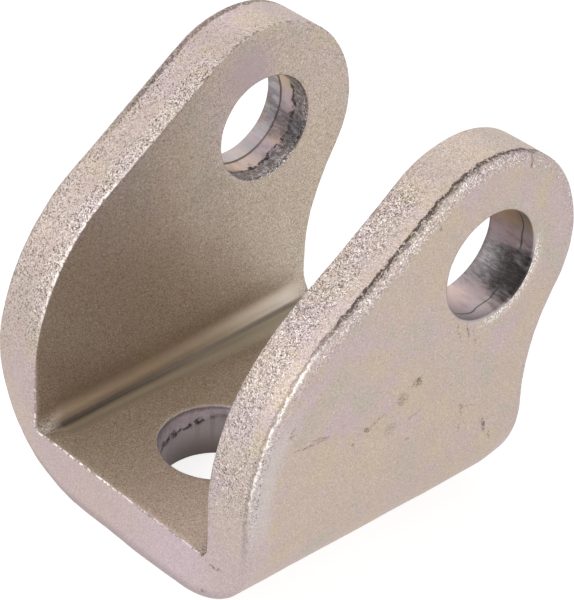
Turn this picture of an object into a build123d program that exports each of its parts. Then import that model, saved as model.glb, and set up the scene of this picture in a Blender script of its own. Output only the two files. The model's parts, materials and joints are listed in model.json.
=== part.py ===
from build123d import *
import os
from math import acos, atan2, cos, hypot, pi, sin, sqrt

# Clevis rod end: one steel plate, punched to its outline with its three holes and bent into a U.
# Millimetres, +Z up. The origin is the centre of the rod hole on the underside of the base.
# The pin axis runs along X, and the front of the clevis, which the ears lean back from, faces -Y.

# Plate and channel
plate_thickness = 6.3
body_width = 40.0            # over the outer faces of the ears
bend_outer_radius = 12.0
bend_inner_radius = 1.2      # the bends are coined almost sharp inside, which thins the plate there

# Holes
pin_hole_diameter = 12.0
rod_hole_diameter = 12.6
pin_height = 31.3            # pin axis above the underside
pin_offset = 17.6            # pin axis behind the rod hole

# Ear outline, seen along the pin axis
front_reach = 13.3           # front edge ahead of the rod hole
back_reach = 24.15           # back edge of the base behind the rod hole
eye_radius = 12.1            # round end of the ear, about the pin axis
shoulder_radius = 22.8       # convex shoulder between the front edge and the sloping top edge
shoulder_height = 12.7       # where the front edge turns into the shoulder
waist_radius = 22.5          # hollow between the base's back edge and the round end

# Punched edges: the outside, where the punch entered, is rolled over, and the inside is left sharp
edge_roll = 0.7
hole_roll = 0.4

# Worked-out sizes
half_width = body_width / 2
half_gap = half_width - plate_thickness
ear_top = pin_height + eye_radius
eye_back = pin_offset + eye_radius
touch = 0.01                 # how near an edge lies to a plane that it is picked by


def on_circle(centre, radius, angle):
    """The point of a circle at an angle, in the plane of the ear outline."""
    return (centre[0] + radius * cos(angle), centre[1] + radius * sin(angle))


def on_outside(edge):
    """Whether an edge of the bent plate lies on its outer face and follows its outline."""
    middle = edge @ 0.5
    on_ear = abs(abs(middle.X) - half_width) < touch
    on_underside = middle.Z < touch
    on_bend = edge.geom_type == GeomType.CIRCLE and abs(edge.radius - bend_outer_radius) < touch
    bend_line = edge.geom_type == GeomType.LINE and abs(edge.tangent_at(0.5).Y) > 1 - touch
    return (on_ear or on_underside or on_bend) and not bend_line


# The sloping top edge is tangent to the shoulder circle and to the eye circle.
eye_centre = (pin_offset, pin_height)
shoulder_centre = (shoulder_radius - front_reach, shoulder_height)
centre_run = eye_centre[0] - shoulder_centre[0]
centre_rise = eye_centre[1] - shoulder_centre[1]
radius_change = (shoulder_radius - eye_radius) / hypot(centre_run, centre_rise)
slope_normal = atan2(centre_rise, centre_run) + acos(radius_change)

# The waist circle is tangent to the eye circle and to the upright back edge.
waist_run = back_reach + waist_radius - pin_offset
waist_drop = sqrt((eye_radius + waist_radius) ** 2 - waist_run**2)
waist_centre = (back_reach + waist_radius, pin_height - waist_drop)
waist_angle = atan2(-waist_drop, waist_run)

with BuildPart() as clevis_body:
    # The bent channel, from the front edge to the back of the eyes
    with BuildSketch(Plane.XZ.offset(front_reach)) as channel_section:
        with Locations((0, ear_top / 2)):
            Rectangle(body_width, ear_top)
        outer_corners = channel_section.vertices().group_by(Axis.Y)[0]
        fillet(outer_corners, radius=bend_outer_radius)
        with BuildSketch(mode=Mode.SUBTRACT) as gap_section:
            with Locations((0, plate_thickness + ear_top / 2)):
                Rectangle(2 * half_gap, ear_top)
            inner_corners = gap_section.vertices().group_by(Axis.Y)[0]
            fillet(inner_corners, radius=bend_inner_radius)
    extrude(amount=-(front_reach + eye_back))

    # The punched outline of the two ears and of the base's back edge
    with BuildSketch(Plane.YZ.offset(-half_width)) as ear_outline:
        with BuildLine():
            front_edge = Line((-front_reach, 0), (-front_reach, shoulder_height))
            shoulder = ThreePointArc(
                front_edge @ 1,
                on_circle(shoulder_centre, shoulder_radius, (pi + slope_normal) / 2),
                on_circle(shoulder_centre, shoulder_radius, slope_normal),
            )
            slope = Line(shoulder @ 1, on_circle(eye_centre, eye_radius, slope_normal))
            eye = ThreePointArc(
                slope @ 1,
                on_circle(eye_centre, eye_radius, (slope_normal + waist_angle) / 2),
                on_circle(eye_centre, eye_radius, waist_angle),
            )
            waist = ThreePointArc(
                eye @ 1,
                on_circle(waist_centre, waist_radius, pi + waist_angle / 2),
                (back_reach, waist_centre[1]),
            )
            back_edge = Line(waist @ 1, (back_reach, 0))
            Line(back_edge @ 1, front_edge @ 0)
        make_face()
    extrude(amount=body_width, mode=Mode.INTERSECT)

    # Die roll along the whole outline, on the outside of the bends
    fillet(clevis_body.edges().filter_by(on_outside), radius=edge_roll)

    # Pin holes through both ears, in line
    with BuildSketch(Plane.YZ.offset(-half_width)) as pin_hole:
        with Locations(eye_centre):
            Circle(pin_hole_diameter / 2)
    extrude(amount=body_width, mode=Mode.SUBTRACT)
    pin_rims = clevis_body.edges().filter_by(GeomType.CIRCLE).filter_by(
        lambda e: abs(e.radius - pin_hole_diameter / 2) < touch
    )
    chamfer(pin_rims.filter_by(lambda e: abs((e @ 0).X) > half_gap + touch), length=hole_roll)

    # Rod hole through the base
    with BuildSketch(Plane.XY) as rod_hole:
        Circle(rod_hole_diameter / 2)
    extrude(amount=plate_thickness, mode=Mode.SUBTRACT)
    rod_rims = clevis_body.edges().filter_by(GeomType.CIRCLE).filter_by(
        lambda e: abs(e.radius - rod_hole_diameter / 2) < touch
    )
    chamfer(rod_rims.sort_by(Axis.Z)[0], length=hole_roll)

clevis_body.part.label = "clevis_body"
os.makedirs("parts", exist_ok=True)
export_step(clevis_body.part, "parts/clevis_body.step")
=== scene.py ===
import json
from math import atan2, acos, cos, exp, hypot, pi, radians, sin, sqrt

import bmesh
import bpy
from bpy.props import FloatProperty, FloatVectorProperty, PointerProperty
from mathutils import Matrix, Vector, kdtree, noise


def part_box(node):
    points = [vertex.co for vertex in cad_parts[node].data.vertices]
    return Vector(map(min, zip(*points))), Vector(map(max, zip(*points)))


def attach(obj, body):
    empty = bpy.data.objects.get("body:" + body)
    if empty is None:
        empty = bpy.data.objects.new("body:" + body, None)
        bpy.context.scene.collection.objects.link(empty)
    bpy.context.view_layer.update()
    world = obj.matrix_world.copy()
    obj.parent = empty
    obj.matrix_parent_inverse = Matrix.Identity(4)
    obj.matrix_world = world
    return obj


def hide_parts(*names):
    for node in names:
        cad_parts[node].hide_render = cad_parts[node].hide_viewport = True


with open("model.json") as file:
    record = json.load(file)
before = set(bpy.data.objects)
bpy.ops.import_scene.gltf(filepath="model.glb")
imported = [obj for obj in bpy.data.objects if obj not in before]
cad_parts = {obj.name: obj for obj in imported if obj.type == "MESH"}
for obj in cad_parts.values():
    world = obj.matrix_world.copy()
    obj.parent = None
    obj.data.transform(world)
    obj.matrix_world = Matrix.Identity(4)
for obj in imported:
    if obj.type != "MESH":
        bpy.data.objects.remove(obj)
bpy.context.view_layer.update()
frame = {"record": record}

bl_info = {
    "name": "Clevis rod end",
    "version": (1, 0, 0),
    "blender": (4, 5, 0),
    "location": "View3D > Sidebar > Clevis",
    "description": "Builds a punched, bent and zinc plated clevis, and a pale studio around it",
    "category": "Add Mesh",
}

MM = 0.001

# Interfaces that the clevis is built around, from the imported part
MOUNTS = {mount["name"]: mount for mount in frame["record"]["mounts"]}
LOW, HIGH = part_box("clevis_body")
PIN_MOUNT = MOUNTS["pin_holes"]
ROD_MOUNT = MOUNTS["rod_hole"]


# ---------------------------------------------------------------- settings


class ClevisSizes(bpy.types.PropertyGroup):
    body_width: FloatProperty(
        name="Body width", description="Over the outer faces of the ears",
        default=HIGH.x - LOW.x, unit="LENGTH")
    plate_thickness: FloatProperty(
        name="Plate thickness", description="Thickness of the ears and the base",
        default=6.38 * MM, unit="LENGTH")
    right_bend: FloatProperty(
        name="Right bend", description="Outer radius of the bend on the +X side",
        default=10.75 * MM, unit="LENGTH")
    left_bend: FloatProperty(
        name="Left bend", description="Outer radius of the bend on the -X side",
        default=12.5 * MM, unit="LENGTH")
    inner_bend: FloatProperty(
        name="Inner bend", description="Radius that the forming tool leaves inside the bends",
        default=2.4 * MM, unit="LENGTH")
    pin_radius: FloatProperty(
        name="Pin hole radius", description="Radius of the holes through the ears",
        default=PIN_MOUNT["dims"]["r_mm"] * MM, unit="LENGTH")
    rod_radius: FloatProperty(
        name="Rod hole radius", description="Radius of the hole through the base",
        default=ROD_MOUNT["dims"]["r_mm"] * MM, unit="LENGTH")
    shoulder_radius: FloatProperty(
        name="Shoulder radius", description="Convex arc between the front edge and the slope",
        default=22.8 * MM, unit="LENGTH")
    shoulder_height: FloatProperty(
        name="Shoulder height", description="Where the front edge turns into the shoulder",
        default=12.7 * MM, unit="LENGTH")
    waist_radius: FloatProperty(
        name="Waist radius", description="Hollow between the back edge and the round end",
        default=22.5 * MM, unit="LENGTH")
    base_back: FloatProperty(
        name="Base back", description="Back edge of the base behind the rod hole",
        default=24.15 * MM, unit="LENGTH")
    edge_roll: FloatProperty(
        name="Edge roll", description="Width of the rolled edge outside, where the punch entered",
        default=0.7 * MM, unit="LENGTH")
    hole_roll: FloatProperty(
        name="Hole roll", description="Width of the rolled rim of the holes outside",
        default=0.25 * MM, unit="LENGTH")
    burr: FloatProperty(
        name="Sheared edge", description="Width of the nearly sharp edges inside",
        default=0.16 * MM, unit="LENGTH")


class ZincColours(bpy.types.PropertyGroup):
    plate: FloatVectorProperty(
        name="Plate", description="Main colour of the zinc plate", subtype="COLOR", size=4,
        default=(0.535, 0.430, 0.370, 1))
    drift: FloatVectorProperty(
        name="Drift", description="Lilac that the passivation drifts to", subtype="COLOR", size=4,
        default=(0.530, 0.420, 0.420, 1))
    warm_drift: FloatVectorProperty(
        name="Warm drift", description="Straw colour in patches of it", subtype="COLOR", size=4,
        default=(0.545, 0.445, 0.345, 1))
    cool_drift: FloatVectorProperty(
        name="Cool drift", description="Grey-green in other patches", subtype="COLOR", size=4,
        default=(0.490, 0.430, 0.365, 1))


class StudioSettings(bpy.types.PropertyGroup):
    aim: FloatVectorProperty(
        name="Aim", description="Point that the camera looks at",
        default=(0.75 * MM, 8.28 * MM, 21.04 * MM), subtype="TRANSLATION", unit="LENGTH")
    distance: FloatProperty(
        name="Distance", description="From the camera to the aim", default=0.305, unit="LENGTH")
    azimuth: FloatProperty(
        name="Azimuth", description="Heading of the camera, turned from +Y towards -X",
        default=radians(46.93), unit="ROTATION")
    elevation: FloatProperty(
        name="Elevation", description="How far the camera looks down",
        default=radians(34.28), unit="ROTATION")
    roll: FloatProperty(
        name="Roll", description="Turn of the camera about its own axis",
        default=radians(2.24), unit="ROTATION")
    lens: FloatProperty(
        name="Lens", description="Focal length in millimetres on a 36 mm sensor",
        default=178.7, unit="CAMERA")


# ---------------------------------------------------------------- the flat blank, in millimetres

BASE_PLAIN = 7.4       # half of the base that stays flat through its whole thickness
EAR_PLAIN = 12.6       # height above which the ears are flat through their whole thickness
BEND_LENGTH = 12.0     # developed length given to each bend, between the two
EAR_START = BASE_PLAIN + BEND_LENGTH
BEND_FROM = 0.28       # shares of the bend's length where its curved part begins and ends
BEND_TO = 0.78
BEND_SIDE_CUTS = 3     # cuts in each straight stretch beside the curved part
BEND_CUTS = 32         # and in the curved part
GRID = 0.7             # spacing of the cuts that let the flat faces take dents and waves
LAND_CUTS = (0.2, 0.32, 0.335, 0.35, 0.365, 0.5, 0.62, 0.68, 0.8, 0.9)   # shares of the thickness
HOLE_STEPS = 60        # straight stretches in half a hole
ON_HOLE = 0.02         # how near to a hole's radius its sheared wall lies
TINY = 1e-4


class Outline:
    """The clevis in millimetres: the ear outline has Y across and Z up, as seen along the pin."""

    def __init__(self, sizes):
        self.thickness = sizes.plate_thickness / MM
        self.half_width = sizes.body_width / 2 / MM
        self.bend = {-1: sizes.left_bend / MM, 1: sizes.right_bend / MM}
        self.inner_bend = sizes.inner_bend / MM
        self.front = LOW.y / MM
        self.back = sizes.base_back / MM
        self.pin = (PIN_MOUNT["pos_m"][1] / MM, PIN_MOUNT["pos_m"][2] / MM)
        self.pin_radius = sizes.pin_radius / MM
        self.rod_radius = sizes.rod_radius / MM
        self.eye_radius = HIGH.z / MM - self.pin[1]
        self.shoulder_radius = sizes.shoulder_radius / MM
        self.shoulder = (self.front + self.shoulder_radius, sizes.shoulder_height / MM)
        run, rise = self.pin[0] - self.shoulder[0], self.pin[1] - self.shoulder[1]
        change = (self.shoulder_radius - self.eye_radius) / hypot(run, rise)
        self.slope_angle = atan2(rise, run) + acos(change)
        self.waist_radius = sizes.waist_radius / MM
        across = self.back + self.waist_radius - self.pin[0]
        drop = sqrt((self.eye_radius + self.waist_radius) ** 2 - across**2)
        self.waist = (self.back + self.waist_radius, self.pin[1] - drop)
        self.waist_angle = atan2(-drop, across)
        self.edge_roll = sizes.edge_roll / MM
        self.hole_roll = sizes.hole_roll / MM
        self.burr = sizes.burr / MM


def developed(point):
    """A point of the ear outline in the plane of the flat blank, which has its length along Y."""
    return Vector((point[0], EAR_START + point[1] - EAR_PLAIN, 0))


def line_to(bm, chain, point):
    """Draws a straight edge on from the end of a chain of vertices."""
    vert = bm.verts.new(point)
    bm.edges.new((chain[-1], vert))
    chain.append(vert)


def arc_to(bm, chain, centre, angle, steps):
    """Spins the end of a chain of vertices about a centre, and follows the new edges."""
    drawn = set(bm.verts)
    bmesh.ops.spin(bm, geom=[chain[-1]], cent=centre, axis=(0, 0, 1), dvec=(0, 0, 0), angle=angle,
                   steps=steps, use_merge=False, use_duplicate=False)
    for _ in range(steps):
        onward = [e.other_vert(chain[-1]) for e in chain[-1].link_edges]
        chain.append(next(v for v in onward if v not in drawn))
        drawn.add(chain[-1])


def flat_blank(bm, o):
    """Half of the blank as two flat faces that meet on a line through the pin hole, then mirrored."""
    pin = developed(o.pin)
    parting = o.pin[0]
    flat_end = (o.front, o.shoulder[1])

    front = [bm.verts.new((parting, 0, 0))]
    line_to(bm, front, (o.rod_radius, 0, 0))
    arc_to(bm, front, (0, 0, 0), pi, HOLE_STEPS)
    line_to(bm, front, (o.front, 0, 0))
    line_to(bm, front, developed(flat_end))
    arc_to(bm, front, developed(o.shoulder), o.slope_angle - pi, 40)
    tangent = Vector((cos(o.slope_angle), sin(o.slope_angle), 0))
    line_to(bm, front, pin + o.eye_radius * tangent)
    arc_to(bm, front, pin, pi / 2 - o.slope_angle, 20)
    crown = front[-1]
    line_to(bm, front, pin + Vector((0, o.pin_radius, 0)))
    hole_top = front[-1]
    arc_to(bm, front, pin, pi, HOLE_STEPS)
    hole_foot = front[-1]
    bm.faces.new(front)

    back = [crown]
    arc_to(bm, back, pin, o.waist_angle - pi / 2, 76)
    arc_to(bm, back, developed(o.waist), -o.waist_angle, 26)
    line_to(bm, back, (o.back, 0, 0))
    hole = [hole_foot]
    arc_to(bm, hole, pin, pi, HOLE_STEPS)
    bm.verts.remove(hole.pop())
    bm.faces.new(back + [front[0]] + hole + [hole_top])

    bmesh.ops.mirror(bm, geom=bm.verts[:] + bm.edges[:] + bm.faces[:], matrix=Matrix.Identity(4),
                     merge_dist=TINY, axis="Y")
    bmesh.ops.remove_doubles(bm, verts=bm.verts, dist=TINY)


def hole_of(o, point):
    """The centre of the hole whose wall a point of the blank lies on, or None."""
    pin = developed(o.pin)
    centres = [(pin, o.pin_radius), (Vector((pin.x, -pin.y, 0)), o.pin_radius),
               (Vector((0, 0, 0)), o.rod_radius)]
    for centre, radius in centres:
        reach = hypot(point.x - centre.x, point.y - centre.y)
        if abs(reach - radius) < ON_HOLE:
            return centre
    return None


def punched_plate(bm, o):
    """Gives the blank its thickness, and rolls or breaks its edges as the punch leaves them."""
    lift = bmesh.ops.extrude_face_region(bm, geom=bm.faces[:], use_keep_orig=True)["geom"]
    raised = [part for part in lift if isinstance(part, bmesh.types.BMVert)]
    bmesh.ops.translate(bm, verts=raised, vec=(0, 0, o.thickness))
    bmesh.ops.recalc_face_normals(bm, faces=bm.faces)
    bm.normal_update()

    def rims(height, in_hole):
        found = []
        for edge in bm.edges:
            level = all(abs(v.co.z - height) < TINY for v in edge.verts)
            wall = any(abs(f.normal.z) < 0.5 for f in edge.link_faces)
            if level and wall and all(bool(hole_of(o, v.co)) == in_hole for v in edge.verts):
                found.append(edge)
        return found

    def round_off(edges, width, segments):
        bmesh.ops.bevel(bm, geom=edges, offset=width, offset_type="OFFSET", segments=segments,
                        profile=0.5, affect="EDGES", material=-1, clamp_overlap=False)

    round_off(rims(0, False), o.edge_roll, 6)
    round_off(rims(0, True), o.hole_roll, 4)
    round_off(rims(o.thickness, False), o.burr, 2)
    round_off(rims(o.thickness, True), o.burr, 2)


def cut(bm, place, normal):
    """Scores the whole plate along a plane."""
    bmesh.ops.bisect_plane(bm, geom=bm.verts[:] + bm.edges[:] + bm.faces[:], dist=TINY,
                           plane_co=place, plane_no=normal)


def scored_plate(bm, o):
    """Cuts the plate so that it can bend, and take dents and the tear in its sheared walls."""
    for share in LAND_CUTS:
        cut(bm, (0, 0, share * o.thickness), (0, 0, 1))
    for step in range(1, int((HIGH.y - LOW.y) / MM / GRID)):
        cut(bm, (o.front + step * GRID, 0, 0), (1, 0, 0))
    ear_end = EAR_START + HIGH.z / MM - EAR_PLAIN
    lines = [step * GRID for step in range(int(BASE_PLAIN / GRID) + 1)]
    low_side = BEND_LENGTH * BEND_FROM / BEND_SIDE_CUTS
    curved = (BEND_TO - BEND_FROM) * BEND_LENGTH / BEND_CUTS
    high_side = BEND_LENGTH * (1 - BEND_TO) / BEND_SIDE_CUTS
    bend = [BASE_PLAIN + step * low_side for step in range(BEND_SIDE_CUTS)]
    bend += [BASE_PLAIN + BEND_LENGTH * BEND_FROM + step * curved for step in range(BEND_CUTS + 1)]
    bend += [EAR_START - step * high_side for step in range(BEND_SIDE_CUTS)]
    ears = [EAR_START + step * GRID for step in range(1, int((ear_end - EAR_START) / GRID))]
    for line in lines + bend + ears:
        for side in (1, -1) if line else (1,):
            cut(bm, (0, side * line, 0), (0, 1, 0))


# ---------------------------------------------------------------- bending, in millimetres

TOOL_START = 1.6       # how far behind the front edge the forming tool's mark begins
TOOL_SLANT = 0.6       # how much later it begins, for each radian past TOOL_LOW
TOOL_LOW = 0.45
TOOL_RISE = 1.1        # length over which it grows to its full depth
TOOL_END = 0.2         # how far from the back edge it ends
TOOL_FALL = 2.8        # and starts to fade
FRONT_LOOSE = {-1: 1.8, 1: 0.9}   # inner radius in front of the mark, by side
BACK_LOOSE = 4.2       # and behind it
WIDENING = 0.5         # how much wider the tool's own radius gets towards the back, as a share
WIDE_FROM, WIDE_TO = 0, 20
BACK_GROWTH = {-1: 0, 1: 1.0}     # how much wider the outer radius gets at the back edge, by side
GROWTH_FROM, GROWTH_TO = 20.5, 24.1
CREASE_FRONT = radians(28)        # where round the bend the nose of the tool cut in
CREASE_BACK = radians(50)
GROOVE_DEPTH = 0.3
GROOVE_WIDTH = 0.2     # in radians
DRAWN_IN = {-1: 0.42, 1: 0.2}     # how far the free edges of the outside draw in, by side
DRAW_LEAD = 4          # how far before the bend they begin to
DRAW_TAIL = 2          # and how far behind it they end
DRAW_RAMP = 8          # length over which they reach their full depth
SWELL = 0.35           # how far the free edges of the inside swell out
SWELL_POWER = 1.5
EDGE_REACH = 2.5       # how far both are felt into the plate
STEP_DEPTH = 0.12      # step where two strokes of the punch met in the left pin hole
STEP_AT = 0.34         # and its place through the thickness
WAVES = ((0.16, 0.09), (0.7, 0.025))   # frequency and height of the plate's waves
RIM_REACH = 1.0        # how far from a hole its rim counts as the hole's wall


def eased(value, low, high):
    """0 below low, 1 above high, and a smooth rise between."""
    share = min(max((value - low) / (high - low), 0), 1)
    return share * share * (3 - 2 * share)


def bend_share(along):
    """How far round its bend a place on the blank lies, from 0 at the base to 1 at the ear."""
    share = (abs(along) - BASE_PLAIN) / BEND_LENGTH
    return min(max((share - BEND_FROM) / (BEND_TO - BEND_FROM), 0), 1)


def section(o, along, radius, lift, groove):
    """The channel's section on one surface: lift is 0 outside and the thickness inside."""
    wall = o.half_width - lift
    share = (along - BASE_PLAIN) / BEND_LENGTH
    if share <= 0:
        return Vector((along, lift))
    if share >= 1:
        return Vector((wall, EAR_PLAIN + along - EAR_START))
    if share < BEND_FROM:
        return Vector((BASE_PLAIN, lift)).lerp(Vector((wall - radius, lift)), share / BEND_FROM)
    if share > BEND_TO:
        run = (share - BEND_TO) / (1 - BEND_TO)
        return Vector((wall, lift + radius)).lerp(Vector((wall, EAR_PLAIN)), run)
    angle = (share - BEND_FROM) / (BEND_TO - BEND_FROM) * pi / 2
    reach = radius + groove
    return Vector((wall - radius + reach * sin(angle), lift + radius - reach * cos(angle)))


def tool_mark(o, point):
    """How far the forming tool reached into a bend: 1 along most of it, 0 where the tool ended."""
    angle = bend_share(point.y) * pi / 2
    start = TOOL_START + TOOL_SLANT * max(angle - TOOL_LOW, 0)
    begun = eased(point.x - o.front, start, start + TOOL_RISE)
    return begun * eased(o.back - point.x, TOOL_END, TOOL_FALL)


def crease_angle(o, point):
    """Where round the bend the nose of the tool cut in: low at the front, higher at the back."""
    return CREASE_FRONT + (CREASE_BACK - CREASE_FRONT) * (point.x - o.front) / (o.back - o.front)


def fold(o, point):
    """Where a place of the blank lies once the plate is bent: depth is 0 outside and 1 inside."""
    side = 1 if point.y >= 0 else -1
    along = abs(point.y)
    depth = point.z / o.thickness
    pressed = tool_mark(o, point)
    loose = FRONT_LOOSE[side] if point.x < 0 else BACK_LOOSE
    formed = o.inner_bend * (1 + WIDENING * eased(point.x, WIDE_FROM, WIDE_TO))
    inner_radius = loose + (formed - loose) * pressed
    outer_radius = o.bend[side] + BACK_GROWTH[side] * eased(point.x, GROWTH_FROM, GROWTH_TO)
    off_crease = bend_share(along) * pi / 2 - crease_angle(o, point)
    groove = GROOVE_DEPTH * exp(-(off_crease / GROOVE_WIDTH) ** 2)
    outer = section(o, along, outer_radius, 0, 0)
    inner = section(o, along, inner_radius, o.thickness, groove * pressed)
    place = outer.lerp(inner, depth)
    return Vector((side * place.x, point.x, place.y))


def from_crease(o, point):
    """How far up the inner face a place lies from the crease in its bend: negative on the base."""
    share = BEND_FROM + (BEND_TO - BEND_FROM) * crease_angle(o, point) / (pi / 2)
    side = 1 if point.y >= 0 else -1
    here = fold(o, point)
    crease = fold(o, Vector((point.x, side * (BASE_PLAIN + BEND_LENGTH * share), point.z)))
    return here.z - crease.z + abs(here.x) - abs(crease.x)


def drawn_in(o, side, along):
    """How much of its draw the outside's free edge has at a place, from 0 to 1, by arc length."""
    radius = o.bend[side]
    foot = o.half_width - radius
    outer = section(o, along, radius, 0, 0)
    run = min(outer.x - foot, 0) + radius * bend_share(along) * pi / 2 + max(outer.y - radius, 0)
    left_over = radius * pi / 2 + DRAW_TAIL - run
    return eased(run, -DRAW_LEAD, DRAW_RAMP - DRAW_LEAD) * eased(left_over, 0, DRAW_RAMP)


def bent_clevis(bm, o):
    """Bends the plate, and lets its free edges swell inside the bends and draw in outside them."""
    for vert in bm.verts:
        flat = vert.co.copy()
        depth = flat.z / o.thickness
        side = 1 if flat.y >= 0 else -1
        moved = DRAWN_IN[side] * (1 - depth) ** 2 * drawn_in(o, side, abs(flat.y))
        moved -= SWELL * depth**2 * sin(pi * bend_share(flat.y)) ** SWELL_POWER
        centre = hole_of(o, flat)
        if centre and flat.y < -EAR_START and depth < STEP_AT:
            flat = flat.lerp(Vector((centre.x, centre.y, flat.z)), STEP_DEPTH / o.pin_radius)
        vert.co = fold(o, flat)
        vert.co.y += moved * exp(-(flat.x - o.front) / EDGE_REACH)
        vert.co.y -= 0.5 * moved * exp(-abs(o.back - flat.x) / EDGE_REACH)


def worn_surface(bm):
    """The slight waves of a pressed plate, which rests on the high spots of its underside."""
    bm.normal_update()
    for vert in bm.verts:
        wave = sum(noise.noise(vert.co * frequency) * height for frequency, height in WAVES)
        vert.co += vert.normal * wave
        vert.co.z = max(vert.co.z, 0)


# ---------------------------------------------------------------- marks that the finish follows


# depth: 0 outside to 1 inside; wall, bore: on a sheared wall, on a hole's wall; edge: distance from
# the outline; pressed: under the forming tool; crease: from_crease; height: up the ear, as if unbent
MARKS = ("depth", "wall", "bore", "edge", "pressed", "crease", "height")


def mark_surface(bm, o):
    """Stores on each vertex where it lies: through the plate, on a wall, near an edge, in a bend."""
    layer = {name: bm.verts.layers.float.new(name) for name in MARKS}
    rim = [v.co for v in bm.verts
           if TINY < v.co.z < o.thickness - TINY and not near_hole(o, v.co)]
    tree = kdtree.KDTree(len(rim))
    for index, place in enumerate(rim):
        tree.insert((place.x, place.y, 0), index)
    tree.balance()
    for vert in bm.verts:
        flat = vert.co
        on_wall = TINY < flat.z < o.thickness - TINY
        vert[layer["depth"]] = flat.z / o.thickness
        vert[layer["wall"]] = on_wall
        vert[layer["bore"]] = on_wall and near_hole(o, flat)
        vert[layer["edge"]] = tree.find((flat.x, flat.y, 0))[2]
        vert[layer["pressed"]] = tool_mark(o, flat) if flat.z > o.thickness - TINY else 0
        vert[layer["crease"]] = from_crease(o, flat)
        vert[layer["height"]] = max(abs(flat.y) - EAR_START + EAR_PLAIN, 0)


def near_hole(o, point):
    """Whether a place on a sheared wall belongs to a hole and not to the outline."""
    pin = developed(o.pin)
    reaches = (hypot(point.x - pin.x, abs(point.y) - pin.y) - o.pin_radius,
               hypot(point.x, point.y) - o.rod_radius)
    return min(reaches) < RIM_REACH


# ---------------------------------------------------------------- finishes

# Tints of the zinc plate, and of what is under it or on it; some of the dark ones and BRIGHT are also laid on
# as painted shade and painted highlights
LILAC = (0.530, 0.420, 0.420, 1)
ASH = (0.570, 0.510, 0.500, 1)
HEATHER = (0.560, 0.450, 0.490, 1)
STRAW = (0.545, 0.445, 0.345, 1)
OLIVE = (0.490, 0.400, 0.305, 1)
GOLD = (0.600, 0.470, 0.310, 1)
ROSE = (0.600, 0.445, 0.390, 1)
MAUVE = (0.470, 0.375, 0.400, 1)
SLATE = (0.200, 0.180, 0.190, 1)
STEEL = (0.430, 0.420, 0.430, 1)
BRIGHT = (0.960, 0.920, 0.880, 1)
UMBER = (0.130, 0.092, 0.075, 1)
PITCH = (0.085, 0.055, 0.050, 1)
MOSS = (0.350, 0.320, 0.250, 1)
SHADE = (0.230, 0.185, 0.120, 1)
# Dark brown for soot-like marks, and for painted shade in the crease, along the step and low in the rod hole
SOOT_AND_SHADE = (0.085, 0.068, 0.062, 1)
BLACK = (0.025, 0.022, 0.022, 1)

# Middles of three patches; along the pin, the two in the holes are given in the drawn-out grooves' scale
STAIN = (-13.7, 15.2, 38.9)      # bluish, above the left pin hole, inside
PICKED_UP = (-4.9, 22.9, 28.4)   # metal picked up in the left pin hole
GALLED = (5.4, 22.4, 27.3)       # galled wall of the right pin hole

COARSE_FLECK = 0.12    # size of the flecks where the blast hit hardest
FINE_FLECK = 0.1       # and everywhere
RELIEF_DEPTH = 0.07    # height of the whole relief, in millimetres


class Nodes:
    """Places nodes in a tree, left to right, and links their inputs by name."""

    def __init__(self, tree):
        self.tree = tree
        self.count = 0

    def add(self, kind, settings=None, **inputs):
        """A node, with inputs given by name, with _ for a space, or by number as i0, i1 and so on."""
        node = self.tree.nodes.new(kind)
        node.location = (self.count % 12 * 220, -(self.count // 12) * 320)
        self.count += 1
        for name, value in (settings or {}).items():
            setattr(node, name, value)
        for name, value in inputs.items():
            self.feed(node, name.replace("_", " "), value)
        return node

    def feed(self, node, name, value):
        """Sets one input of a node to a value, or links it to another node's output."""
        numbered = name[0] == "i" and name[1:].isdigit()
        socket = node.inputs[int(name[1:]) if numbered else name]
        if isinstance(value, bpy.types.NodeSocket):
            self.tree.links.new(value, socket)
        else:
            socket.default_value = value

    def math(self, operation, first, second=0.0, clamp=False):
        settings = {"operation": operation, "use_clamp": clamp}
        return self.add("ShaderNodeMath", settings, i0=first, i1=second).outputs[0]

    def times(self, product, *factors):
        for factor in factors:
            product = self.math("MULTIPLY", product, factor)
        return product

    def rest(self, mask):
        """What a mask leaves out."""
        return self.math("SUBTRACT", 1.0, mask)

    def span(self, value, low, high, start=0.0, end=1.0):
        """A smooth run from start to end while a value goes from low to high, which may be the smaller."""
        return self.add("ShaderNodeMapRange", {"interpolation_type": "SMOOTHSTEP"}, i0=value, i1=low,
                        i2=high, i3=start, i4=end).outputs[0]

    def ridge(self, value, up_from, up_to, down_from, down_to):
        """1 between two values, with a smooth rise before them and a smooth fall behind."""
        return self.times(self.span(value, up_from, up_to), self.span(value, down_to, down_from))

    def attribute(self, name):
        return self.add("ShaderNodeAttribute", {"attribute_name": name}).outputs["Fac"]

    def mix(self, share, first, second):
        return self.add("ShaderNodeMix", {"data_type": "RGBA"}, i0=share, i6=first, i7=second).outputs[2]

    def tint(self, colour, second, *masks):
        """Lays a second colour over the first one where all the masks are 1."""
        return self.mix(self.times(*masks), colour, second)

    def grain(self, place, scale, detail=2.0, roughness=0.5):
        return self.add("ShaderNodeTexNoise", Vector=place, Scale=scale, Detail=detail,
                        Roughness=roughness).outputs["Fac"]

    def distance(self, place, middle):
        node = self.add("ShaderNodeVectorMath", {"operation": "DISTANCE"}, i0=place, i1=middle)
        return node.outputs["Value"]

    def shaken(self, value, noise_value, amount):
        """A value moved up and down by a noise."""
        return self.math("ADD", value, self.times(self.math("SUBTRACT", noise_value, 0.5), amount))


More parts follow.
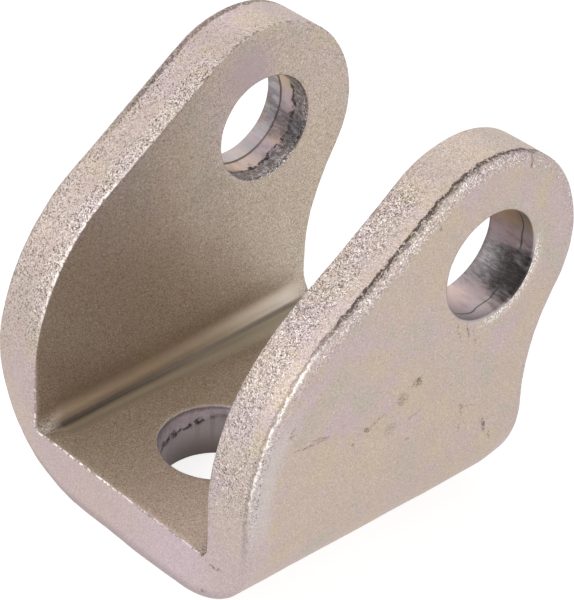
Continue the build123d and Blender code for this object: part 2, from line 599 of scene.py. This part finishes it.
def fleck_group():
    """Shot-blasted grain: dimples as a height, and the light and dark flecks between them."""
    tree = bpy.data.node_groups.new("shot_blast", "ShaderNodeTree")
    tree.interface.new_socket("Place", in_out="INPUT", socket_type="NodeSocketVector")
    tree.interface.new_socket("Size", in_out="INPUT", socket_type="NodeSocketFloat")
    for name in ("Height", "Light", "Dark"):
        tree.interface.new_socket(name, in_out="OUTPUT", socket_type="NodeSocketFloat")
    n = Nodes(tree)
    given = n.add("NodeGroupInput")
    scale = n.math("DIVIDE", 1.0, given.outputs["Size"])
    coarse = n.grain(given.outputs["Place"], n.times(scale, 0.45), 4.0, 0.75)
    cells = n.add("ShaderNodeTexVoronoi", Vector=given.outputs["Place"], Scale=scale)
    facet = n.add("ShaderNodeSeparateColor", Color=cells.outputs["Color"])
    height = n.math("ADD", n.times(coarse, 0.7), n.times(cells.outputs["Distance"], 0.5))
    light = n.times(n.span(facet.outputs[0], 0.45, 1.0), n.span(coarse, 0.42, 0.62, 0.35, 1.0))
    dark = n.times(n.span(facet.outputs[1], 0.5, 1.0), n.span(coarse, 0.58, 0.38, 0.3, 1.0))
    output = n.add("NodeGroupOutput")
    for name, value in (("Height", height), ("Light", light), ("Dark", dark)):
        tree.links.new(value, output.inputs[name])
    return tree


def scuff_group():
    """One dark rubbed mark on a face: a broken stroke, given where it is and its turn."""
    tree = bpy.data.node_groups.new("scuff", "ShaderNodeTree")
    for name, kind in (("Place", "Vector"), ("Centre", "Vector"), ("Turn", "Float"), ("Length", "Float"),
                       ("Width", "Float"), ("Strength", "Float")):
        tree.interface.new_socket(name, in_out="INPUT", socket_type="NodeSocket" + kind)
    tree.interface.new_socket("Mask", in_out="OUTPUT", socket_type="NodeSocketFloat")
    n = Nodes(tree)
    given = n.add("NodeGroupInput")
    frayed = n.add("ShaderNodeTexNoise", Vector=given.outputs["Place"], Scale=1.6, Detail=3.0)
    shake = n.add("ShaderNodeVectorMath", {"operation": "MULTIPLY_ADD"}, i0=frayed.outputs["Color"],
                  i1=(0.9, 0.9, 0.9), i2=(-0.45, -0.45, -0.45))
    moved = n.add("ShaderNodeVectorMath", {"operation": "SUBTRACT"}, i0=given.outputs["Place"],
                  i1=given.outputs["Centre"])
    shaken = n.add("ShaderNodeVectorMath", {"operation": "ADD"}, i0=moved.outputs[0], i1=shake.outputs[0])
    turned = n.add("ShaderNodeVectorRotate", {"rotation_type": "X_AXIS"}, Vector=shaken.outputs[0])
    n.feed(turned, "Angle", given.outputs["Turn"])
    parts = n.add("ShaderNodeSeparateXYZ", i0=turned.outputs[0])
    across = n.math("DIVIDE", parts.outputs["Z"], given.outputs["Width"])
    along = n.math("DIVIDE", parts.outputs["Y"], given.outputs["Length"])
    deep = n.math("DIVIDE", parts.outputs["X"], 0.8)
    reach = n.math("ADD", n.times(across, across), n.times(along, along))
    reach = n.math("ADD", reach, n.times(deep, deep))
    broken = n.span(n.grain(given.outputs["Place"], 3.6, 4.0, 0.8), 0.42, 0.58)
    mask = n.times(n.span(reach, 1.0, 0.1), broken, given.outputs["Strength"])
    output = n.add("NodeGroupOutput")
    tree.links.new(mask, output.inputs["Mask"])
    return tree


class Surface:
    """Where a point of the clevis lies, as shader values: lengths are in millimetres, masks 0 to 1."""

    def __init__(self, n):
        metres = n.add("ShaderNodeTexCoord").outputs["Object"]
        scaled = n.add("ShaderNodeVectorMath", {"operation": "SCALE"}, i0=metres, Scale=1 / MM)
        self.place = scaled.outputs[0]
        axes = n.add("ShaderNodeSeparateXYZ", i0=self.place)
        self.x, self.y, self.z = (axes.outputs[name] for name in "XYZ")
        self.depth, self.wall, self.bore, self.edge, self.pressed, self.crease, self.height = (
            n.attribute(name) for name in MARKS)
        self.sheared = n.times(self.wall, n.rest(self.bore))
        self.inside = n.times(n.span(self.depth, 0.97, 1.0), n.rest(self.sheared))
        self.left = n.span(self.x, 1.0, -1.0)
        self.right = n.rest(self.left)
        self.base_hole = n.span(self.z, 7, 6)
        self.towards_back = n.span(self.y, LOW.y / MM, HIGH.y / MM)
        group = fleck_group()
        blast = n.add("ShaderNodeGroup", {"node_tree": group}, Place=self.place, Size=COARSE_FLECK)
        fine = n.add("ShaderNodeGroup", {"node_tree": group}, Place=self.place, Size=FINE_FLECK)
        self.blast_height, self.blast_light, self.blast_dark = blast.outputs
        self.fine_height, self.fine_light, self.fine_dark = fine.outputs
        self.beads = n.grain(self.place, 1.8, 4.0, 0.75)

        # What the forming tool and the punch smoothed keeps fewer flecks
        smoothed = n.times(self.pressed, n.ridge(self.crease, -3, -1, 2, 4))
        self.calm = n.times(n.rest(smoothed), n.rest(n.times(self.bore, 0.6)))

        # The line along the sheared edge where the rolled edge begins, as a ragged depth
        self.ragged = n.shaken(self.depth, n.grain(self.place, 0.9, 4.0, 0.75), 0.18)
        self.roll_line = n.times(n.ridge(self.ragged, 0.065, 0.08, 0.17, 0.20), self.sheared)


def blast_strength(n, s):
    """Where the blast hit hardest: the sheared edge above the bends, and a fringe on the faces."""
    far_rim = n.math("MAXIMUM", n.span(s.depth, 0.5, 0.75, 0.0, 1.8), n.span(s.depth, 0.5, 0.2, 0.0, 1.5))
    far_rim = n.math("MAXIMUM", far_rim, n.span(s.height, 33, 25, 0.65, 1.05))
    far_rim = n.times(far_rim, s.left, n.span(s.height, 16, 22, 0.4, 1.0))
    near_rim = n.math("MAXIMUM", n.span(s.height, 25, 20, 0.0, 0.95), n.span(s.depth, 0.3, 0.55, 0.5, 1.15))
    across = n.math("ADD", n.times(s.right, near_rim), far_rim)
    up = n.times(n.span(s.height, 8, 19, 0.1, 1.0), n.span(s.height, 43, 39, 0.3, 1.0))
    fringe = n.times(n.span(s.edge, 1.3, 0.2), n.span(s.height, 24, 32), n.span(s.inside, 0, 1, 0.4, 0.2))
    hit = n.math("MAXIMUM", n.times(s.sheared, across, up), fringe)
    return n.times(hit, n.span(n.grain(s.place, 0.35, 2.0), 0.3, 0.6, 0.65, 1.1))


def passivation(n, s, colours):
    """Beige, drifting to lilac, straw and grey-green, with lilac low on the edge and olive inside."""
    drift = n.grain(s.place, 0.13, 3.0, 0.55)
    second = n.grain(s.place, 0.19, 3.0, 0.6)
    outside_skin = n.span(s.depth, 0.12, 0.02)
    colour = n.tint(colours.plate, colours.drift, n.span(drift, 0.44, 0.60))
    colour = n.tint(colour, colours.warm_drift, n.span(second, 0.52, 0.62), 0.9)
    colour = n.tint(colour, colours.cool_drift, n.span(second, 0.47, 0.36), n.span(s.wall, 0, 1, 0.9, 0.2))
    colour = n.tint(colour, LILAC, s.sheared, s.left, 0.2)
    colour = n.tint(colour, LILAC, s.sheared, n.span(s.height, 22, 8), n.span(s.x, -17, -6, 0.15, 0.65))
    colour = n.tint(colour, HEATHER, s.sheared, n.span(s.x, -3, 7), n.span(s.height, 9, 3), 0.75)
    colour = n.tint(colour, OLIVE, s.inside, n.span(s.height, 36, 18, 0.2, 0.85))
    warm = n.times(n.span(s.height, 8, 5), n.span(s.x, -4, 7), n.span(s.y, 0, -9, 0.0, 0.5))
    colour = n.tint(colour, ROSE, s.inside, warm)
    colour = n.tint(colour, LILAC, n.span(s.edge, 1.0, 0.1), outside_skin, 0.5)
    pale = n.times(n.span(s.edge, 2.6, 1.2), outside_skin, s.right)
    return n.tint(colour, ASH, pale, n.ridge(s.height, 8, 15, 21, 27), n.span(s.y, 2, -4), 0.8)


def flecked(n, s, colour, hit):
    """Fine flecks everywhere, coarse ones where the blast hit, and dark clumps on the right edge."""
    colour = n.tint(colour, UMBER, s.fine_dark, s.calm, n.span(s.inside, 0, 1, 0.33, 0.72))
    colour = n.tint(colour, BRIGHT, s.fine_light, s.calm, n.span(s.inside, 0, 1, 0.29, 0.48))
    colour = n.tint(colour, UMBER, s.blast_dark, hit, n.span(s.left, 0, 1, 1.25, 1.5))
    colour = n.tint(colour, BRIGHT, s.blast_light, hit, n.span(s.left, 0, 1, 0.68, 0.42))
    scar = n.times(s.right, s.sheared, n.span(s.depth, 0.35, 0.55), n.ridge(s.height, 20, 26, 40, 43.3))
    clumps = n.times(n.span(n.grain(s.place, 2.0, 4.0, 0.8), 0.46, 0.58), n.span(s.blast_light, 0.3, 0.0))
    return n.tint(colour, UMBER, scar, clumps, 0.45)


def roll_pits(n, s):
    """The dark pits along the line where the rolled edge begins, deepest round the eyes."""
    pits = n.times(n.span(n.grain(s.place, 2.8, 5.0, 0.8), 0.43, 0.48), s.roll_line)
    pits = n.times(pits, n.span(s.height, 29, 34, 0.3, 1.0), n.span(s.height, 12, 18))
    return n.times(pits, n.math("ADD", s.right, n.times(s.left, n.span(s.height, 32, 38, 0.0, 0.6))))


def outer_edge(n, s, colour, pits):
    """The line where the edge roll begins: pitted round the eyes, rubbed bright below with a painted
    highlight, dull at the foot.
    """
    colour = n.tint(colour, n.tint(PITCH, UMBER, n.span(s.blast_light, 0, 0.4)), pits, 0.9)
    # A bright line below the pits: rubbed metal, and a painted highlight along the edge
    rubbed = n.times(n.ridge(s.ragged, 0.06, 0.085, 0.105, 0.135), s.sheared, s.right)
    broken = n.span(n.grain(s.place, 2.6, 4.0, 0.8), 0.40, 0.52, 0.1, 1.0)
    rubbed = n.times(rubbed, n.span(s.height, 12, 17), broken)
    colour = n.tint(colour, BRIGHT, rubbed, n.span(s.height, 34, 27, 0.3, 0.95))
    foot = n.times(s.roll_line, s.right, n.ridge(s.height, 7, 12, 14, 19))
    foot = n.times(foot, n.span(n.grain(s.place, 2.5, 4.0, 0.75), 0.35, 0.6, 0.15, 0.8))
    colour = n.tint(colour, SLATE, foot, 0.5)

    # Frosted band on the face beside the line, round the eyes
    frosted = n.times(n.span(s.edge, 1.35, 0.1), n.span(s.depth, 0.1, 0.03), n.span(s.height, 27, 34))
    frosted = n.times(frosted, n.span(s.y, 25, 18, 0.35, 1.0))
    glitter = n.span(n.math("ADD", s.blast_light, n.times(frosted, 0.6)), 0.8, 1.1)
    colour = n.tint(colour, BRIGHT, glitter, n.span(frosted, 0.0, 0.3), 0.75)
    return n.tint(colour, UMBER, frosted, s.blast_dark, 0.45)


def left_inner_edge(n, s, colour):
    """The left ear's edge towards the inside: a bright blasted rim, and a beaded lip with a painted
    highlight.
    """
    left_edge = n.times(s.left, s.sheared)
    rim = n.times(left_edge, n.span(s.depth, 0.55, 0.85), n.ridge(s.height, 15, 24, 39, 43))
    colour = n.tint(colour, BRIGHT, rim, n.span(s.blast_light, 0.15, 0.45), 0.25)
    lip = n.times(left_edge, n.span(s.depth, 0.92, 0.97))
    # Painted highlight in beads along the lip
    lip_highlight = n.times(lip, n.span(s.height, 16, 22), n.span(s.height, 35, 30, 0.25, 1.0))
    colour = n.tint(colour, BRIGHT, lip_highlight, n.span(s.beads, 0.46, 0.56, 0.0, 0.9))
    dull = n.times(lip, n.span(s.height, 36, 40), n.span(s.beads, 0.52, 0.44))
    return n.tint(colour, UMBER, dull, 0.6)


def pin_frost(n, s, colour):
    """A frosted fringe that the pin rubbed on the face beside the right pin hole."""
    aside = n.math("SUBTRACT", s.y, PIN_MOUNT["pos_m"][1] / MM)
    below = n.math("SUBTRACT", PIN_MOUNT["pos_m"][2] / MM, s.z)
    reach = n.math("SQRT", n.math("ADD", n.times(aside, aside), n.times(below, below)))
    frost = n.times(n.span(reach, 7.6, 6.2), n.span(n.math("ADD", aside, below), 4.5, 7.5), s.right)
    return n.tint(colour, BRIGHT, frost, n.span(s.blast_light, 0.05, 0.3), n.span(s.depth, 0.1, 0.02))


def burr(n, s, colour):
    """The broken burr along the front edge of the base and the inner rims: dark beads, and a bright painted
    highlight.
    """
    torn = n.times(n.span(s.depth, 0.95, 0.985), s.wall, n.span(s.height, 16, 8))
    colour = n.tint(colour, UMBER, torn, n.span(s.beads, 0.52, 0.44, 0.0, 0.6))
    # Painted highlight along the burr, mostly left out on the holes' rims
    light = n.times(torn, n.span(s.beads, 0.50, 0.58), n.span(s.x, 6, -2, 0.3, 1.0))
    worn_away = n.times(s.bore, n.span(s.y, 3, 5.5, 0.9, 0.3))
    return n.tint(colour, BRIGHT, light, n.rest(worn_away), 0.9)


def bends(n, s, colour):
    """Loose corners, a smooth golden band with painted shade at its front and a painted highlight at its
    back, painted shade above it, a crease painted dark as shade, a grey-green edge, and painted shade on the
    base behind the crease, inside the bends.
    """
    loose = n.times(n.math("SUBTRACT", s.inside, s.pressed, clamp=True),
                    n.span(n.math("ABSOLUTE", s.crease), 2.2, 0.6))
    colour = n.tint(colour, UMBER, loose, 0.3)
    colour = n.tint(colour, SOOT_AND_SHADE, loose, s.blast_dark, 0.8)
    colour = n.tint(colour, BRIGHT, loose, s.blast_light, 0.5)

    band_top = n.span(s.y, LOW.y / MM, 24, 3.0, 3.4)
    over = n.math("DIVIDE", s.crease, band_top)
    band = n.times(n.span(s.crease, 0.15, 0.7), n.span(over, 1.1, 0.35), s.pressed)
    gold = n.tint(GOLD, ROSE, n.span(n.grain(s.place, 0.2, 2.0), 0.42, 0.58))
    colour = n.tint(colour, gold, band, n.span(s.towards_back, 0.1, 0.8, 0.4, 0.1))
    colour = n.tint(colour, STRAW, band, n.span(s.towards_back, 0.3, 0.9, 0.0, 0.85))
    # Painted shade on the front of the band, and a painted highlight on its back
    colour = n.tint(colour, SHADE, band, n.span(s.towards_back, 0.5, 0.85, 0.35, 0.0))
    colour = n.tint(colour, BRIGHT, band, n.span(s.towards_back, 0.6, 0.95, 0.0, 0.35))
    # Painted shade in the hollow above the band
    colour = n.tint(colour, SHADE, n.ridge(over, 0.75, 1.05, 1.1, 1.9), s.pressed, 0.24)
    under = n.times(n.span(s.crease, 0.2, -0.4), n.span(s.crease, -2.4, -1.6))
    colour = n.tint(colour, MOSS, under, s.pressed, 0.55)
    # Painted shade on the base behind the crease, towards the back
    painted_base_shade = n.times(n.span(s.crease, 0.2, -0.8), n.span(s.crease, -5.5, -2.5), n.span(s.pressed, 0, 1))
    painted_base_shade = n.times(painted_base_shade, n.span(s.towards_back, 0.35, 0.75, 0.0, 0.5), n.span(s.z, 9, 7))
    colour = n.tint(colour, SHADE, painted_base_shade)
    # Painted shade along the crease
    nose = n.times(n.span(n.math("ABSOLUTE", s.crease), 0.75, 0.1), s.pressed)
    return n.tint(colour, SOOT_AND_SHADE, nose, n.span(s.towards_back, 0, 0.5, 0.95, 0.72))


class HoleWall:
    """Shader values on the holes' walls: grooves along the punch's stroke, and where the metal tore."""

    def __init__(self, n, s):
        along_pin = n.add("ShaderNodeMapping", Vector=s.place, Scale=(0.3, 1.0, 1.0)).outputs[0]
        along_rod = n.add("ShaderNodeMapping", Vector=s.place, Scale=(1.0, 1.0, 0.12)).outputs[0]
        self.grooves = n.mix(s.base_hole, along_pin, along_rod)
        self.streaks = n.grain(self.grooves, 1.3, 5.0, 0.65)
        jag = n.times(n.math("SUBTRACT", n.grain(s.place, 0.6, 5.0, 0.75), 0.5), 0.5)
        slant = n.times(s.base_hole, n.span(s.y, -6, 6, -0.15, 0.15))
        self.torn_at = n.math("ADD", s.depth, n.math("SUBTRACT", jag, slant))
        torn_here = n.times(s.bore, n.math("MAXIMUM", s.left, s.base_hole))
        self.torn = n.times(torn_here, n.span(self.torn_at, 0.66, 0.72))
        self.smooth_side = n.times(n.span(s.y, 2.0, 4.5), s.base_hole)
        tear = n.times(n.ridge(self.torn_at, 0.62, 0.655, 0.67, 0.71), torn_here)
        tear = n.times(tear, n.span(n.grain(s.place, 1.1, 3.0), 0.40, 0.50))
        self.tear = n.times(tear, n.rest(n.times(self.smooth_side, 0.8)))


def burnished(n, s, w):
    """The colours of a hole's wall where the punch slid, with painted shade darkening the rod hole's wall
    towards its lower end.
    """
    land = n.tint(MAUVE, ROSE, n.span(n.grain(s.place, 0.2, 2.0), 0.50, 0.62))
    land = n.tint(land, GOLD, n.span(s.z, 31, 34, 0.0, 0.85))
    grime = n.times(n.span(w.streaks, 0.46, 0.66), n.span(s.base_hole, 0, 1, 0.5, 0.8))
    land = n.tint(land, SLATE, grime, n.span(s.z, 30.5, 33, 1.0, 0.25))
    land = n.tint(land, LILAC, s.right, n.span(s.z, 27.5, 26), 0.5)
    foot_gold = n.times(n.span(s.y, 20.2, 18.6), n.span(s.z, 28, 26.5))
    land = n.tint(land, GOLD, foot_gold, n.span(s.left, 0, 1, 0.0, 0.35))
    land = n.tint(land, SLATE, s.base_hole, 0.7)
    # Painted shade: the rod hole's wall darkens towards its lower end
    return n.tint(land, SOOT_AND_SHADE, s.base_hole, n.span(s.depth, 0.66, 0.0, 0.0, 0.9))


def hole_walls(n, s, w, colour):
    """Walls of the holes: burnished where the punch slid, torn beyond a jagged line, with a dark line of
    painted shade at the step and painted glints in the torn zone.
    """
    colour = n.tint(colour, burnished(n, s, w), s.bore)
    outer = n.times(s.bore, n.span(s.base_hole, 1, 0), n.span(s.depth, 0.36, 0.33))
    colour = n.tint(colour, STEEL, outer, n.span(w.streaks, 0.4, 0.6, 0.2, 0.7))
    shaded = n.times(outer, s.left, n.span(s.z, 27, 30))
    colour = n.tint(colour, SLATE, shaded, n.span(w.streaks, 0.56, 0.42, 0.2, 0.75))

    # The step where two strokes met, painted as a dark line of shade, wavy on the right, where the pin rubbed
    # part of it out
    step_at = n.shaken(s.depth, n.grain(s.place, 0.25, 2.0), n.times(s.right, 0.3))
    step_at = n.math("ADD", step_at, n.times(s.right, 0.07))
    step = n.times(n.ridge(step_at, 0.315, 0.335, 0.345, 0.365), s.bore, n.span(s.z, 7, 8))
    rubbed_out = n.times(n.ridge(s.z, 26.0, 26.8, 29.5, 30.5), s.right)
    colour = n.tint(colour, SOOT_AND_SHADE, step, n.rest(rubbed_out), n.span(s.left, 0, 1, 0.8, 0.3))

    rough_grey = n.tint(SOOT_AND_SHADE, STEEL, n.span(n.grain(s.place, 2.2, 5.0, 0.8), 0.42, 0.64))
    rough_grey = n.tint(rough_grey, MAUVE, s.base_hole, 0.75)
    colour = n.tint(colour, rough_grey, w.torn, 0.8)
    dragged = n.times(s.bore, s.base_hole, n.ridge(w.torn_at, 0.54, 0.66, 0.68, 0.76))
    dragged = n.times(dragged, n.span(w.streaks, 0.42, 0.56), n.rest(n.times(w.smooth_side, 0.6)))
    colour = n.tint(colour, SOOT_AND_SHADE, dragged, 0.7)
    colour = n.tint(colour, BLACK, w.tear, n.span(s.base_hole, 0, 1, 0.95, 0.8))
    # Painted glints near the inner rim of the torn zone, mostly in the left pin hole
    painted_glint = n.times(w.torn, s.left, n.span(s.depth, 0.84, 0.95), n.span(s.base_hole, 0, 1, 1.0, 0.15))
    return n.tint(colour, BRIGHT, painted_glint, n.span(s.blast_light, 0.2, 0.5))


def galling(n, s, w, colour):
    """Where the pin scraped the walls of its holes: a black patch on the right, a light one on the left."""
    scratches = n.span(n.grain(w.grooves, 3.6, 5.0, 0.8), 0.44, 0.62)
    galled = n.times(n.span(n.shaken(n.distance(w.grooves, GALLED), w.streaks, 6.0), 4.4, 1.4), s.bore)
    scraped = n.tint(BLACK, SLATE, n.span(s.x, 18.0, 13.8))
    scraped = n.tint(scraped, STEEL, scratches, n.span(s.x, 18.5, 14.5, 0.06, 0.5))
    colour = n.tint(colour, scraped, galled, 0.95)
    picked_up = n.times(n.span(n.shaken(n.distance(w.grooves, PICKED_UP), w.streaks, 5.0), 2.8, 0.8), s.bore)
    picked_up = n.times(picked_up, n.span(s.depth, 0.3, 0.4, 0.65, 1.0))
    return n.tint(colour, n.tint(BLACK, SLATE, scratches), picked_up, 0.75)


# Rubbed marks on the outer face of the right ear: Y and Z of the middle, turn in degrees, half length,
# half width and strength
EAR_SCUFFS = (
    (8.3, 21.5, -1, 1.0, 0.75, 0.75),
    (6.3, 20.3, -20, 1.1, 0.9, 0.5),
    (4.9, 17.4, 10, 1.0, 0.8, 0.35),
    (15.2, 43.2, 50, 0.6, 0.45, 1.0),
    (10.1, 38.6, 40, 0.5, 0.3, 0.6),
    (1.7, 18.8, -1, 0.75, 0.5, 0.9),
    (2.9, 19.2, 17, 1.3, 0.35, 0.5),
    (8.0, 17.5, 15, 1.6, 0.17, 0.6),
    (-5.8, 20.4, -5, 3.0, 0.17, 0.65),
    (-4.6, 20.6, -12, 1.6, 0.22, 0.5),
    (-8.4, 22.9, 51, 0.8, 0.4, 0.6),
    (14.8, 15.4, -18, 0.5, 0.4, 0.6),
    (15.8, 15.1, -18, 2.0, 0.14, 0.4),
    (14.8, 13.6, -94, 2.0, 0.13, 0.5),
    (18.4, 11.5, -74, 1.2, 0.25, 0.9),
    (19.4, 9.7, -73, 1.0, 0.22, 0.6),
    (13.7, 25.1, -73, 1.8, 0.18, 0.6),
    (15.0, 24.5, -75, 1.2, 0.2, 0.8),
    (16.0, 23.5, -75, 1.3, 0.15, 0.5),
    (-0.1, 17.8, 8, 0.5, 0.3, 0.5),
    (7.3, 14.9, 39, 0.4, 0.3, 0.5),
    (22.2, 41.6, 92, 1.3, 0.22, 0.9),
)

# The same on the front edge, with X and Z of the middle
FRONT_SCUFFS = (
    (15.1, 6.1, 7, 1.0, 0.16, 0.9),
    (13.2, 1.8, 5, 0.5, 0.25, 0.5),
)


def scuffed(n, s, colour):
    """Rubbed marks on the right ear and the front edge, and a stain above the left pin hole."""
    group = scuff_group()
    flipped = n.times(s.y, -1.0)
    from_front = n.add("ShaderNodeCombineXYZ", X=flipped, Y=s.x, Z=s.z).outputs[0]
    marks = []
    for place, level, scuffs in ((s.place, HIGH.x / MM, EAR_SCUFFS), (from_front, -LOW.y / MM, FRONT_SCUFFS)):
        for along, up, turn, length, width, strength in scuffs:
            mark = n.add("ShaderNodeGroup", {"node_tree": group}, Place=place, Centre=(level, along, up),
                         Turn=radians(-turn), Length=length, Width=width, Strength=strength)
            marks.append(mark.outputs[0])
    darkest = marks[0]
    for mark in marks[1:]:
        darkest = n.math("MAXIMUM", darkest, mark)
    colour = n.tint(colour, SOOT_AND_SHADE, darkest)
    stain = n.span(n.distance(s.place, STAIN), 4.6, 1.2, 0.0, 0.75)
    return n.tint(colour, MAUVE, stain, s.left)


def zinc_finish(colours):
    """Zinc plate on shot-blasted steel, with the colours of its passivation and the marks of its making."""
    material = bpy.data.materials.new("zinc_plated_steel")
    material.use_nodes = True
    tree = material.node_tree
    tree.nodes.clear()
    n = Nodes(tree)
    s = Surface(n)
    w = HoleWall(n, s)
    hit = blast_strength(n, s)
    pits = roll_pits(n, s)

    colour = flecked(n, s, passivation(n, s, colours), hit)
    colour = outer_edge(n, s, colour, pits)
    colour = left_inner_edge(n, s, colour)
    colour = pin_frost(n, s, colour)
    # Painted shade: the outside of the bends darkens towards the bottom
    low_outside_shade = n.times(n.span(s.z, 5.5, 0.3), n.span(s.depth, 0.3, 0.1))
    colour = n.tint(colour, SLATE, low_outside_shade, 0.38)
    colour = burr(n, s, colour)
    colour = bends(n, s, colour)
    colour = hole_walls(n, s, w, colour)
    colour = galling(n, s, w, colour)
    colour = scuffed(n, s, colour)

    relief = n.times(s.blast_height, n.span(hit, 0, 1, 0.1, 1.3))
    relief = n.math("ADD", relief, n.times(s.fine_height, 0.35))
    relief = n.times(relief, n.span(s.calm, 0, 1, 0.15, 1.0))
    relief = n.math("SUBTRACT", relief, n.times(w.tear, 1.5))
    relief = n.math("SUBTRACT", relief, n.times(pits, 1.2))
    bump = n.add("ShaderNodeBump", Strength=0.7, Distance=RELIEF_DEPTH * MM, Height=relief)
    roughness = n.math("ADD", n.span(s.blast_light, 0.0, 0.6, 0.5, 0.42), n.times(pits, 0.3))
    shader = n.add("ShaderNodeBsdfPrincipled", Metallic=1.0, Roughness=roughness, Base_Color=colour,
                   Normal=bump.outputs[0])
    output = n.add("ShaderNodeOutputMaterial")
    tree.links.new(shader.outputs[0], output.inputs[0])
    return material


# ---------------------------------------------------------------- operators


class BuildClevisBody(bpy.types.Operator):
    """Punches, rolls, bends and finishes the clevis plate"""

    bl_idname = "clevis.build_body"
    bl_label = "Clevis body"

    def execute(self, context):
        o = Outline(context.scene.clevis_sizes)
        bm = bmesh.new()
        flat_blank(bm, o)
        punched_plate(bm, o)
        scored_plate(bm, o)
        mark_surface(bm, o)
        bent_clevis(bm, o)
        worn_surface(bm)
        bmesh.ops.triangulate(bm, faces=[f for f in bm.faces if len(f.verts) > 4])
        bmesh.ops.scale(bm, verts=bm.verts, vec=(MM, MM, MM))
        bmesh.ops.recalc_face_normals(bm, faces=bm.faces)
        mesh = bpy.data.meshes.new("clevis_plate")
        bm.to_mesh(mesh)
        bm.free()
        mesh.shade_smooth()
        mesh.materials.append(zinc_finish(context.scene.clevis_colours))
        piece = bpy.data.objects.new("clevis_plate", mesh)
        context.scene.collection.objects.link(piece)
        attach(piece, "root")
        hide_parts("clevis_body")
        return {"FINISHED"}


WORLD_LIGHT = 0.3      # strength with which the white world lights the object
FLOOR_REACH = 1.5
FLOOR_GREY = 0.6
FLOOR_GLOW = 0.8
# Name, place from the aim, size and power in watts
LAMPS = (
    ("key", (-0.12, -0.36, 0.30), 0.35, 0.65),
    ("side", (0.5, 0.05, 0.2), 0.4, 0.3),
    ("back", (-0.35, 0.25, 0.35), 0.3, 0.2),
)


class BuildStudio(bpy.types.Operator):
    """Sets the pale floor, the soft lamps and the camera"""

    bl_idname = "clevis.build_studio"
    bl_label = "Studio"

    def execute(self, context):
        scene = context.scene
        settings = scene.clevis_studio
        scene.view_settings.view_transform = "Standard"
        white_world(scene)
        floor()
        lamps(settings)
        camera = bpy.data.objects.new("camera", bpy.data.cameras.new("camera"))
        scene.collection.objects.link(camera)
        camera.data.lens = settings.lens
        camera.data.clip_start = 0.01
        turn = (Matrix.Rotation(settings.azimuth, 4, "Z")
                @ Matrix.Rotation(pi / 2 - settings.elevation, 4, "X")
                @ Matrix.Rotation(settings.roll, 4, "Z"))
        back = turn @ Vector((0, 0, settings.distance))
        camera.matrix_world = Matrix.Translation(Vector(settings.aim) + back) @ turn
        scene.camera = camera
        return {"FINISHED"}


def seen_ray(n):
    """1 for rays from the camera and those that metal or glass send on, and 0 for light on the object."""
    path = n.add("ShaderNodeLightPath")
    seen = n.math("MAXIMUM", path.outputs["Is Camera Ray"], path.outputs["Is Transmission Ray"])
    return n.math("MAXIMUM", seen, path.outputs["Is Glossy Ray"])


def white_world(scene):
    """A world that looks white and lights the object less."""
    world = bpy.data.worlds.new("studio")
    scene.world = world
    world.use_nodes = True
    n = Nodes(world.node_tree)
    world.node_tree.nodes.clear()
    strength = n.span(seen_ray(n), 0, 1, WORLD_LIGHT, 1.0)
    sky = n.add("ShaderNodeBackground", Color=(1, 1, 1, 1), Strength=strength)
    output = n.add("ShaderNodeOutputWorld")
    world.node_tree.links.new(sky.outputs[0], output.inputs[0])


def floor():
    """A pale floor that keeps the object's shadow."""
    bm = bmesh.new()
    bmesh.ops.create_grid(bm, x_segments=1, y_segments=1, size=FLOOR_REACH)
    mesh = bpy.data.meshes.new("floor")
    bm.to_mesh(mesh)
    bm.free()
    plane = bpy.data.objects.new("floor", mesh)
    bpy.context.scene.collection.objects.link(plane)
    material = bpy.data.materials.new("floor")
    material.use_nodes = True
    tree = material.node_tree
    tree.nodes.clear()
    n = Nodes(tree)
    diffuse = n.add("ShaderNodeBsdfDiffuse", Color=(FLOOR_GREY, FLOOR_GREY, FLOOR_GREY, 1))
    glow = n.add("ShaderNodeEmission", Color=(1, 1, 1, 1), Strength=n.times(seen_ray(n), FLOOR_GLOW))
    blend = n.add("ShaderNodeAddShader", i0=diffuse.outputs[0], i1=glow.outputs[0])
    output = n.add("ShaderNodeOutputMaterial")
    tree.links.new(blend.outputs[0], output.inputs[0])
    mesh.materials.append(material)


def lamps(settings):
    """Square soft lamps round the point that the camera looks at."""
    centre = Vector(settings.aim)
    for name, place, size, power in LAMPS:
        light = bpy.data.lights.new(name, "AREA")
        light.size = size
        light.energy = power
        lamp = bpy.data.objects.new(name, light)
        bpy.context.scene.collection.objects.link(lamp)
        lamp.location = centre + Vector(place)
        lamp.rotation_euler = (-Vector(place)).to_track_quat("-Z", "Y").to_euler()


class ClevisPanel(bpy.types.Panel):
    """Lists the pieces and their settings"""

    bl_label = "Clevis"
    bl_idname = "VIEW3D_PT_clevis"
    bl_space_type = "VIEW_3D"
    bl_region_type = "UI"
    bl_category = "Clevis"

    def draw(self, context):
        scene = context.scene
        for group in (scene.clevis_sizes, scene.clevis_colours, scene.clevis_studio):
            for name in group.bl_rna.properties.keys():
                if name not in {"rna_type", "name"}:
                    self.layout.prop(group, name)
        for operator in (BuildClevisBody, BuildStudio):
            self.layout.operator(operator.bl_idname)


CLASSES = (ClevisSizes, ZincColours, StudioSettings, BuildClevisBody, BuildStudio, ClevisPanel)


def register():
    for cls in CLASSES:
        bpy.utils.register_class(cls)
    bpy.types.Scene.clevis_sizes = PointerProperty(type=ClevisSizes)
    bpy.types.Scene.clevis_colours = PointerProperty(type=ZincColours)
    bpy.types.Scene.clevis_studio = PointerProperty(type=StudioSettings)


def unregister():
    del bpy.types.Scene.clevis_studio
    del bpy.types.Scene.clevis_colours
    del bpy.types.Scene.clevis_sizes
    for cls in reversed(CLASSES):
        bpy.utils.unregister_class(cls)


def main():
    register()
    bpy.ops.clevis.build_body()
    bpy.ops.clevis.build_studio()


if __name__ == "__main__":
    main()
